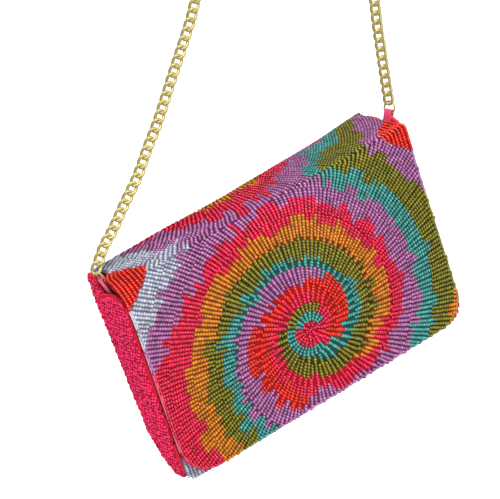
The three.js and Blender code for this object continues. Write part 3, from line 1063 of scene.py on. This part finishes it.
class BAG_OT_flap(bpy.types.Operator):
    """Make the flap: its cloth, its rolled edge and its strings of beads"""

    bl_idname = "beaded_bag.flap"
    bl_label = "Make the flap"

    def execute(self, context):
        beads, dyes, _, _ = settings(context)
        chance = np.random.default_rng(beads.seed)
        panel = flap_panel()
        self.cloth(panel, dyes)
        self.edge(panel, dyes)
        rows = swirl_beads(beads, chance)
        rows = rows[:, np.abs(rows[0]) < FLAP_HALF]
        inside = flap_margin(rows[0], rows[1]) > EDGE_CLEAR
        below_seam = panel.length(rows[0]) - rows[1] > SEAM_CLEAR
        rows = rows[:, inside & below_seam]
        sew_by_dye("flap", bead_template(8), panel.point, rows, beads, dyes, chance, "flap")
        return {"FINISHED"}

    def cloth(self, panel, dyes):
        palette = dye_palette(dyes)

        def spread(across, along):
            u = np.sin((across - 0.5) * np.pi) * (FLAP_HALF - CLOTH_INSET)
            low = flap_low(u) + CLOTH_INSET
            return u, low + (panel.length(u) - low) * along

        piece = cloth(
            "flap_cloth", 84, 72, panel.point, spread, CLOTH_SINK, FLAP_WALL,
            # Cloth colours with painted shade: the dye made fuller and darker, as the cloth lies in shade between the
            # beads
            lambda u, v: painted_gap_shade(palette[flap_dye(u, v)]),
        )
        settle(piece, "swirl_beads", "flap")

    def edge(self, panel, dyes):
        """The dyed cloth rolled over the flap's edge, down one side, along the bottom and up the other."""
        palette = dye_palette(dyes)
        left, right = (self.end_line(corner - EDGE_ROLL) for corner in (FLAP_CORNER_LEFT, FLAP_CORNER_RIGHT))
        line = np.concatenate((left, right[:, ::-1] * np.array([[-1], [1]])), axis=1)
        steps, around = 260, 10
        way = distances(line.T)
        spots = np.linspace(0, way[-1], steps + 1)
        u, v = (np.interp(spots, way, row) for row in line)
        points, _, _, out = lie(panel.point, u, v)
        points = points - out * EDGE_DEEP
        ahead = unit(np.gradient(points, axis=0))
        side = np.cross(out, ahead)

        def place(across, along):
            k = np.rint(across * steps).astype(int)
            turn = 2 * np.pi * along
            ring = np.cos(turn)[:, None] * out[k] + np.sin(turn)[:, None] * side[k]
            return hung(points[k] + EDGE_ROLL * ring)

        piece, across, _ = shaped_grid("flap_rolled_edge", steps, around, place)
        k = np.rint(across * steps).astype(int)
        set_dye(piece, palette[flap_dye(u, v)[k]] * (1 - EDGE_PALER) + EDGE_PALER)
        piece.data.materials.append(cloth_finish())
        bpy.ops.object.mode_set(mode="EDIT")
        bpy.ops.mesh.select_all(action="SELECT")
        bpy.ops.mesh.remove_doubles(threshold=1e-6)
        bpy.ops.mesh.fill_holes(sides=0)
        bpy.ops.mesh.normals_make_consistent(inside=False)
        bpy.ops.object.mode_set(mode="OBJECT")
        settle(piece, "swirl_beads", "flap")

    def end_line(self, corner):
        """The left end's rolled edge on the flat pattern: down from the wedge and round a corner to the lower edge."""
        inset = FLAP_HALF - EDGE_ROLL
        quarter = np.linspace(0, np.pi / 2, 12)
        straight = np.linspace(EDGE_TOP, corner + EDGE_ROLL, 60)
        return np.stack((
            np.concatenate((np.full(60, -inset), corner - inset - corner * np.cos(quarter))),
            np.concatenate((straight, corner + EDGE_ROLL - corner * np.sin(quarter))),
        ))


class BAG_OT_front_panel(bpy.types.Operator):
    """Make the front panel under the flap, beaded where its lower edge shows"""

    bl_idname = "beaded_bag.front_panel"
    bl_label = "Make the front panel"

    def execute(self, context):
        beads, dyes, _, _ = settings(context)
        chance = np.random.default_rng(beads.seed + 1)
        palette = dye_palette(dyes)

        def dye(u, v):
            """Pale at the lower left corner, then purple, and pink up both ends."""
            pale = (u < FRONT_PALE[0]) & (v < FRONT_PALE[1])
            dye = np.where(pale, DYES.index("light_blue"), DYES.index("purple"))
            return np.where((u > FRONT_PINK[0]) | (v > FRONT_PINK[1]), DYES.index("pink"), dye)

        def spread(across, along):
            u = (2 * across - 1) * (FRONT_HALF - CLOTH_INSET)
            low = corner_lift(u) + FRONT_INSET
            return u, low + (FRONT_TOP - low) * along

        piece = cloth(
            "front_cloth", 60, 30, front_point, spread, CLOTH_SINK, PANEL_WALL,
            # Cloth colours with painted shade: the dye made fuller and darker, as the cloth lies in shade between the
            # beads
            lambda u, v: painted_gap_shade(palette[dye(u, v)]),
        )
        settle(piece, "swirl_beads", "front_panel")
        spacing, long, wide = beads.row_spacing / MM, beads.length / MM, beads.width / MM
        strings = Strings()
        for u in np.arange(wide / 2 - FRONT_HALF, FRONT_HALF - wide / 2, spacing * FRONT_CLOSER):
            v = np.arange(corner_lift(np.array(u)) + 1, FRONT_SHOWN, long)
            strings.add(np.full(len(v), u), v, np.pi / 2, wide * FRONT_NARROWER, long, dye(u, v))
        sew_by_dye("front", bead_template(6), front_point, strings.joined(), beads, dyes, chance, "front_panel")
        return {"FINISHED"}


class BAG_OT_back_panel(bpy.types.Operator):
    """Make the back and the base, beaded with the flap's pattern mirrored"""

    bl_idname = "beaded_bag.back_panel"
    bl_label = "Make the back panel"

    def execute(self, context):
        beads, dyes, _, _ = settings(context)
        chance = np.random.default_rng(beads.seed + 2)
        palette = dye_palette(dyes)
        panel, flap = back_panel(), flap_panel()
        stretch = BACK_HALF / FLAP_HALF

        def pattern(u, v):
            """Where a point of the back lies on the flap's pattern, which goes on past the seam."""
            return u / stretch, v + flap.length(u / stretch) + SEAM_GAP

        def spread(across, along):
            u = (2 * across - 1) * BACK_HALF
            return u, panel.length(u) * along

        piece = cloth(
            "back_cloth", 60, 64, panel.point, spread, CLOTH_SINK, PANEL_WALL,
            # Cloth colours with painted shade: the dye made fuller and darker, as the cloth lies in shade between the
            # beads
            lambda u, v: painted_gap_shade(palette[dye_at(*pattern(u, v))]),
        )
        settle(piece, "swirl_beads", "back_panel")
        rows = swirl_beads(beads, chance)
        rows = rows[:, np.abs(rows[0]) < FLAP_HALF]
        rows[1] -= flap.length(rows[0]) + SEAM_GAP
        rows[0] *= stretch
        sides = BACK_HALF - np.abs(rows[0]) > SEAM_CLEAR
        ends = (rows[1] > SEAM_CLEAR) & (rows[1] < panel.length(rows[0]) - SEAM_CLEAR)
        rows = rows[:, sides & ends]
        sew_by_dye("back", bead_template(6), panel.point, rows, beads, dyes, chance, "back_panel")
        return {"FINISHED"}


class BAG_OT_gussets(bpy.types.Operator):
    """Make both gussets, covered with small loose beads"""

    bl_idname = "beaded_bag.gussets"
    bl_label = "Make the gussets"

    def execute(self, context):
        beads, dyes, _, _ = settings(context)
        chance = np.random.default_rng(beads.seed + 3)
        template = bead_template(8)
        sides = (
            ("left", -1, GUSSET_TOP_LEFT, GUSSET_LOW_LEFT),
            ("right", 1, GUSSET_TOP_RIGHT, GUSSET_LOW_RIGHT),
        )
        for name, side, top_edge, lowest in sides:
            self.gusset(name, Gusset(side, top_edge, lowest), template, beads, dyes, chance)
        return {"FINISHED"}

    def gusset(self, name, face, template, beads, dyes, chance):
        node = f"gusset_{name}"
        colour = linear(dyes.gusset)
        piece = cloth(
            f"{node}_cloth", 20, 48, face.point, face.spread, SMALL_CLOTH_SINK, GUSSET_WALL,
            # Cloth colour with painted shade: the gusset dye made fuller and darker, as the cloth lies in shade between
            # the beads
            lambda u, v: np.repeat(painted_gap_shade(colour[None]), len(u), axis=0), rim=1,
        )
        settle(piece, "pink_beads", node)
        step, wide = beads.small_spacing / MM, beads.small_width / MM
        row_step = step * GUSSET_CLOSER
        rows, columns = np.meshgrid(np.arange(0, HEIGHT + 4, row_step), np.arange(0, DEPTH_RIGHT, step))
        columns = columns + step / 2 * (np.rint(rows / row_step) % 2)
        u = face.side * columns.ravel() + chance.normal(0, GUSSET_SCATTER, columns.size)
        v = rows.ravel() + chance.normal(0, GUSSET_SCATTER, rows.size)
        place = face.place(u, v)
        from_side = np.minimum(place, 1 - place) * (face.depth(v) - BOX_FRONT)
        clear_side, clear_base, clear_top = GUSSET_CLEAR
        inside = (from_side > clear_side) & (v > face.lowest + clear_base) & (v < face.top(place) - clear_top)
        u, v = u[inside], v[inside]
        turn = chance.uniform(0, np.pi, len(u))
        sizes = np.full(len(u), wide)
        colours = toned(np.repeat(colour[None], len(u), axis=0), GUSSET_TONE * beads.tone, chance)
        rows = u, v, turn, sizes, sizes * GUSSET_SHORTER
        piece = sew(f"{node}_beads", template, face.point, rows, colours, chance)
        piece.data.materials.append(bead_finish())
        settle(piece, "pink_beads", node)


def fitting_frame(side):
    """A strap fitting's place, and its directions across the ring, along the ring's axis and along the pull."""
    ring, foot, turn = FITTINGS[side]
    pull = Vector(ring) - Vector(foot)
    turned = Vector((0, 0, 1)).rotation_difference(pull.normalized()) @ Quaternion((0, 0, 1), math.pi / 2 + turn)
    return np.array(ring), np.array(turned.to_matrix()).T, pull.length


class BAG_OT_tabs(bpy.types.Operator):
    """Fold a satin ribbon over each ring"""

    bl_idname = "beaded_bag.tabs"
    bl_label = "Fold the tabs"

    def execute(self, context):
        for side in FITTINGS:
            self.tab(side)
        return {"FINISHED"}

    def tab(self, side):
        centre, directions, fall = fitting_frame(side)
        radius = TAB_EYE + TAB_WALL / 2
        wire_at_edge = -math.sqrt(RING_RADIUS**2 - (TAB_WIDTH / 2) ** 2)
        bend = wire_at_edge + 2 * RING_WIRE + GAP - TAB_EYE
        turn = np.linspace(0, np.pi, 13)
        legs = np.linspace(-fall, bend, 8)
        fold = np.stack((
            np.concatenate((np.full(8, radius), radius * np.cos(turn[1:-1]), np.full(8, -radius))),
            np.concatenate((legs, bend + radius * np.sin(turn[1:-1]), legs[::-1])),
        ))
        way = distances(fold.T)

        def place(across, along):
            y, z = (np.interp(along * way[-1], way, row) for row in fold)
            x = (across - 0.5) * (TAB_WIDTH - TAB_TRIM)
            curl = TAB_CURL * (2 * across - 1) ** 2
            local = np.stack((x, y * (1 - curl), z), axis=1)
            return hung(centre + local @ directions)

        piece, _, _ = shaped_grid(f"tab_{side}_ribbon", 8, 40, place)
        piece.data.materials.append(satin_finish())
        apply_modifier(piece, "SOLIDIFY", thickness=TAB_WALL * TAB_THINNER * MM, offset=0)
        apply_modifier(piece, "SUBSURF", levels=1, render_levels=1)
        bpy.ops.object.shade_smooth()
        settle(piece, "pink_satin", f"tab_{side}")


class BAG_OT_rings(bpy.types.Operator):
    """Bend both wire rings, each with the slit where its ends meet"""

    bl_idname = "beaded_bag.rings"
    bl_label = "Bend the rings"

    def execute(self, context):
        for side in FITTINGS:
            self.ring(side)
        return {"FINISHED"}

    def ring(self, side):
        centre, directions, _ = fitting_frame(side)
        segments = 36
        deselect_all()
        bpy.ops.mesh.primitive_torus_add(
            major_radius=RING_RADIUS, minor_radius=RING_WIRE, major_segments=segments, minor_segments=10
        )
        piece = named(bpy.context.object, f"ring_{side}_wire")
        near = 1.5 * np.pi / segments
        select_vertices(piece, lambda places: np.abs(np.arctan2(places[:, 1], places[:, 0])) < near)
        places = self.slit(piece, segments)
        local = np.stack((places[:, 0], places[:, 2], places[:, 1]), axis=1)
        piece.data.vertices.foreach_set("co", hung(centre + local @ directions).astype(np.float32).ravel())
        piece.data.flip_normals()
        bpy.ops.object.shade_smooth()
        piece.data.materials.append(gold_finish())
        settle(piece, "gold", f"ring_{side}")

    def slit(self, piece, segments, gap=0.02):
        """Takes the selected stretch of wire out, closes its ends and draws them together to a slit."""
        bpy.ops.mesh.delete(type="ONLY_FACE")
        bpy.ops.mesh.select_all(action="SELECT")
        bpy.ops.mesh.delete_loose()
        bpy.ops.mesh.fill_holes(sides=0)
        bpy.ops.object.mode_set(mode="OBJECT")
        places = vertex_places(piece)
        turn, far = np.arctan2(places[:, 1], places[:, 0]), np.hypot(places[:, 0], places[:, 1])
        end = np.abs(turn).min()
        turn = np.sign(turn) * (gap + (np.abs(turn) - end) * (np.pi - gap) / (np.pi - end))
        return np.stack((far * np.cos(turn), far * np.sin(turn), places[:, 2]), axis=1)


def chain_line(steps=40):
    """Points along the chain's route in the shared frame, in millimetres, on a smooth curve through its points."""
    flat = np.array(CHAIN_ROUTE, float)
    lean = np.linspace(CHAIN_LEAN, -CHAIN_LEAN, len(flat))
    route = np.stack((flat[:, 0], lean, flat[:, 1]), axis=1)
    route = np.concatenate((2 * route[:1] - route[1:2], route, 2 * route[-1:] - route[-2:-1]))
    part = np.linspace(0, 1, steps, endpoint=False)[:, None]
    points = []
    for a, b, c, d in zip(route, route[1:], route[2:], route[3:]):
        points.extend(
            b + part / 2 * (c - a + part * (2 * a - 5 * b + 4 * c - d + part * (3 * (b - c) + d - a)))
        )
    return np.array(points + [route[-2]])


class BAG_OT_chain(bpy.types.Operator):
    """Link the curb chain from ring to ring"""

    bl_idname = "beaded_bag.chain"
    bl_label = "Link the chain"

    def execute(self, context):
        sizes = settings(context)[2]
        line = chain_line()
        way = distances(line)
        whole = way[-1] - CHAIN_LAST_LINK
        count = round(whole / (sizes.pitch / MM)) + 1
        spots = np.linspace(0, whole, count)
        centres = np.stack([np.interp(spots, way, line[:, k]) for k in range(3)], axis=1)
        ahead = unit(np.gradient(line, axis=0))
        ahead = unit(np.stack([np.interp(spots, way, ahead[:, k]) for k in range(3)], axis=1))
        side = unit(np.cross(ahead, np.array((np.sin(CHAIN_TURN), np.cos(CHAIN_TURN), 0))))
        frames = np.stack((ahead, side, np.cross(ahead, side)), axis=1)
        piece = strew("chain_links", self.link(sizes), centres * MM, frames * MM)
        piece.data.materials.append(gold_finish())
        settle(piece, "gold", "chain")
        return {"FINISHED"}

    def link(self, sizes):
        """One curb link in millimetres: an oval of wire, twisted and ground flat on both faces."""
        deselect_all()
        bpy.ops.mesh.primitive_torus_add(major_radius=1, minor_radius=0.25, major_segments=16, minor_segments=6)
        piece = named(bpy.context.object, "link_template")
        places = vertex_places(piece)
        turn = np.arctan2(places[:, 1], places[:, 0])
        reach, spread, twist, wire, flat = (
            getattr(sizes, name) / MM for name in ("reach", "spread", "twist", "wire", "flat")
        )
        middle = np.stack((reach * np.cos(turn), spread * np.sin(turn), twist * np.sin(2 * turn)), axis=1)
        ahead = unit(np.stack(
            (-reach * np.sin(turn), spread * np.cos(turn), 2 * twist * np.cos(2 * turn)), axis=1
        ))
        outward = np.stack((spread * np.cos(turn), reach * np.sin(turn), 0 * turn), axis=1)
        outward = unit(outward - ahead * (outward * ahead).sum(axis=1, keepdims=True))
        above = np.cross(outward, ahead)
        out = (np.hypot(places[:, 0], places[:, 1]) - 1) / 0.25 * wire
        rise = places[:, 2] / 0.25 * wire
        shape = middle + outward * out[:, None] + above * rise[:, None]
        shape[:, 2] = np.clip(shape[:, 2], -flat, flat)
        piece.data.vertices.foreach_set("co", shape.astype(np.float32).ravel())
        return Template(piece)


class BAG_PT_sidebar(bpy.types.Panel):
    """The bag's sizes, colours and makers"""

    bl_idname = "BAG_PT_sidebar"
    bl_label = "Beaded Bag"
    bl_space_type = "VIEW_3D"
    bl_region_type = "UI"
    bl_category = "Beaded Bag"

    def draw(self, context):
        layout = self.layout
        for pointer, group in GROUPS.items():
            box = layout.box()
            for name in group.__annotations__:
                box.prop(getattr(context.scene, pointer), name)
        for maker in MAKERS:
            layout.operator(maker.bl_idname)


GROUPS = {"bag_beads": SeedBeads, "bag_dyes": DyeColours, "bag_chain": ChainSizes, "bag_studio": StudioSettings}
MAKERS = (
    BAG_OT_stage, BAG_OT_flap, BAG_OT_front_panel, BAG_OT_back_panel, BAG_OT_gussets, BAG_OT_tabs, BAG_OT_rings,
    BAG_OT_chain,
)


def register():
    for group in (*GROUPS.values(), *MAKERS, BAG_PT_sidebar):
        bpy.utils.register_class(group)
    for name, group in GROUPS.items():
        setattr(bpy.types.Scene, name, PointerProperty(type=group))


def unregister():
    for name in GROUPS:
        delattr(bpy.types.Scene, name)
    for group in (BAG_PT_sidebar, *reversed(MAKERS), *reversed(GROUPS.values())):
        bpy.utils.unregister_class(group)


def main():
    """Makes the whole bag and its stage."""
    register()
    for maker in MAKERS:
        category, name = maker.bl_idname.split(".")
        getattr(getattr(bpy.ops, category), name)()


if __name__ == "__main__":
    main()
